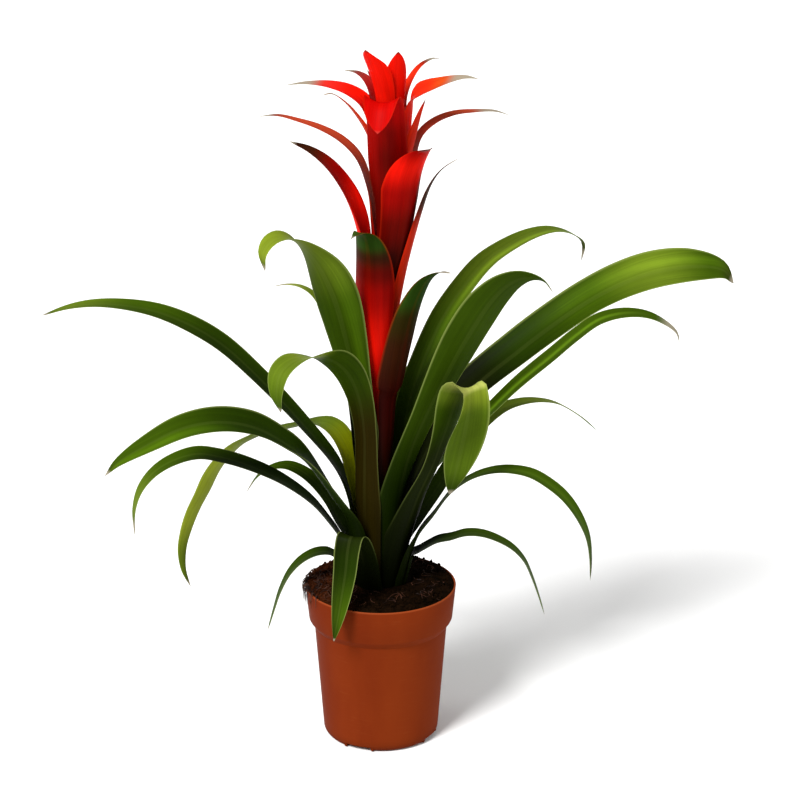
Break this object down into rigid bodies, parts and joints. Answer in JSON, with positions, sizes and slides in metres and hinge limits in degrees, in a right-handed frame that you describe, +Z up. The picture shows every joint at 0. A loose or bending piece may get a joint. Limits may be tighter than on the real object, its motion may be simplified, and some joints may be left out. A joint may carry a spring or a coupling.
{
  "type": "potted bromeliad",
  "caption": "Red-flowered bromeliad with arching green strap leaves and a tall spike of red bracts, growing in soil in a tapered terracotta-coloured plastic nursery pot.",
  "frame": {"origin": "centre of the flat underside of the pot, where it rests", "axes": "+Z up along the pot's axis; -Y towards the viewer of the reference view; +X to the viewer's right"},
  "size_m": [0.5462, 0.2577, 0.5712],
  "materials": {
    "pot_plastic": "satin moulded plastic, terracotta colour",
    "soil": "damp crumbly potting mix",
    "stalk": "living plant tissue",
    "leaf_green": "living leaf with a waxy sheen",
    "bract_red": "living bract with a soft sheen"
  },
  "bodies": {
    "root": {"pot": "pot_plastic", "soil": "soil", "stem": "stalk", "leaf_01": "leaf_green", "leaf_02": "leaf_green", "leaf_03": "leaf_green", "leaf_04": "leaf_green", "leaf_05": "leaf_green", "leaf_06": "leaf_green", "leaf_07": "leaf_green", "leaf_08": "leaf_green", "leaf_09": "leaf_green", "leaf_10": "leaf_green", "leaf_11": "leaf_green", "leaf_12": "leaf_green", "leaf_13": "leaf_green", "leaf_14": "leaf_green", "leaf_15": "leaf_green", "leaf_16": "leaf_green", "leaf_17": "leaf_green", "leaf_18": "leaf_green", "leaf_19": "leaf_green", "leaf_20": "leaf_green", "leaf_21": "leaf_green", "leaf_22": "leaf_green", "bract_01": "bract_red", "bract_02": "bract_red", "bract_03": "bract_red", "bract_04": "bract_red", "bract_05": "bract_red", "bract_06": "bract_red", "bract_07": "bract_red", "bract_08": "bract_red", "bract_09": "bract_red", "bract_10": "bract_red", "bract_11": "bract_red", "bract_12": "bract_red", "bract_13": "bract_red", "bract_14": "bract_red", "bract_15": "bract_red", "bract_16": "bract_red", "bract_17": "bract_red", "bract_18": "bract_red", "bract_19": "bract_red", "bract_20": "bract_red", "bract_21": "bract_red", "bract_22": "bract_red", "bract_23": "bract_red", "bract_24": "bract_red"}
  },
  "joints": []
}
